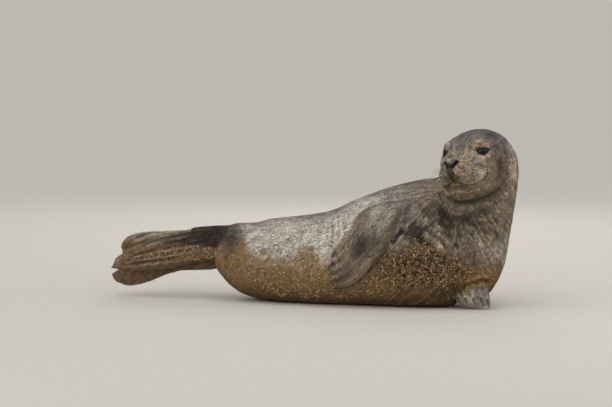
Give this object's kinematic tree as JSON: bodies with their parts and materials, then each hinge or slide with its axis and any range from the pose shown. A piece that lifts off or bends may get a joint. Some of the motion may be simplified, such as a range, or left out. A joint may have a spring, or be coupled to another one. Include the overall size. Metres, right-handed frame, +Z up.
{
  "type": "grey seal model",
  "caption": "Life-size still model of a young grey seal lying on its side on the ground, head raised and looking back, hind flippers lifted.",
  "frame": {"origin": "on the ground, at the middle of the footprint of the whole seal", "axes": "+X from the hind flippers to the chest, +Z up, -Y the side that the belly faces"},
  "size_m": [1.1598, 0.4462, 0.4977],
  "materials": {
    "coat": "short flat fur, dry",
    "flipper_coat": "short fur, sandy",
    "eye": "wet, glossy",
    "claw": "horn, worn"
  },
  "bodies": {
    "root": {"chest": "coat", "claw_fore_left_1": "claw", "claw_fore_left_2": "claw", "claw_fore_left_3": "claw", "claw_fore_left_4": "claw", "claw_fore_left_5": "claw", "claw_fore_right_1": "claw", "claw_fore_right_2": "claw", "claw_fore_right_3": "claw", "claw_fore_right_4": "claw", "claw_fore_right_5": "claw", "claw_hind_left_1": "claw", "claw_hind_left_2": "claw", "claw_hind_left_3": "claw", "claw_hind_left_4": "claw", "claw_hind_left_5": "claw", "claw_hind_right_1": "claw", "claw_hind_right_2": "claw", "claw_hind_right_3": "claw", "claw_hind_right_4": "claw", "claw_hind_right_5": "claw", "eye_left": "eye", "eye_right": "eye", "fore_flipper_left": "flipper_coat", "fore_flipper_right": "flipper_coat", "head": "coat", "hind_flipper_left": "flipper_coat", "hind_flipper_right": "flipper_coat", "neck": "coat", "pelvis": "coat", "tail": "flipper_coat", "trunk": "coat"}
  },
  "joints": []
}
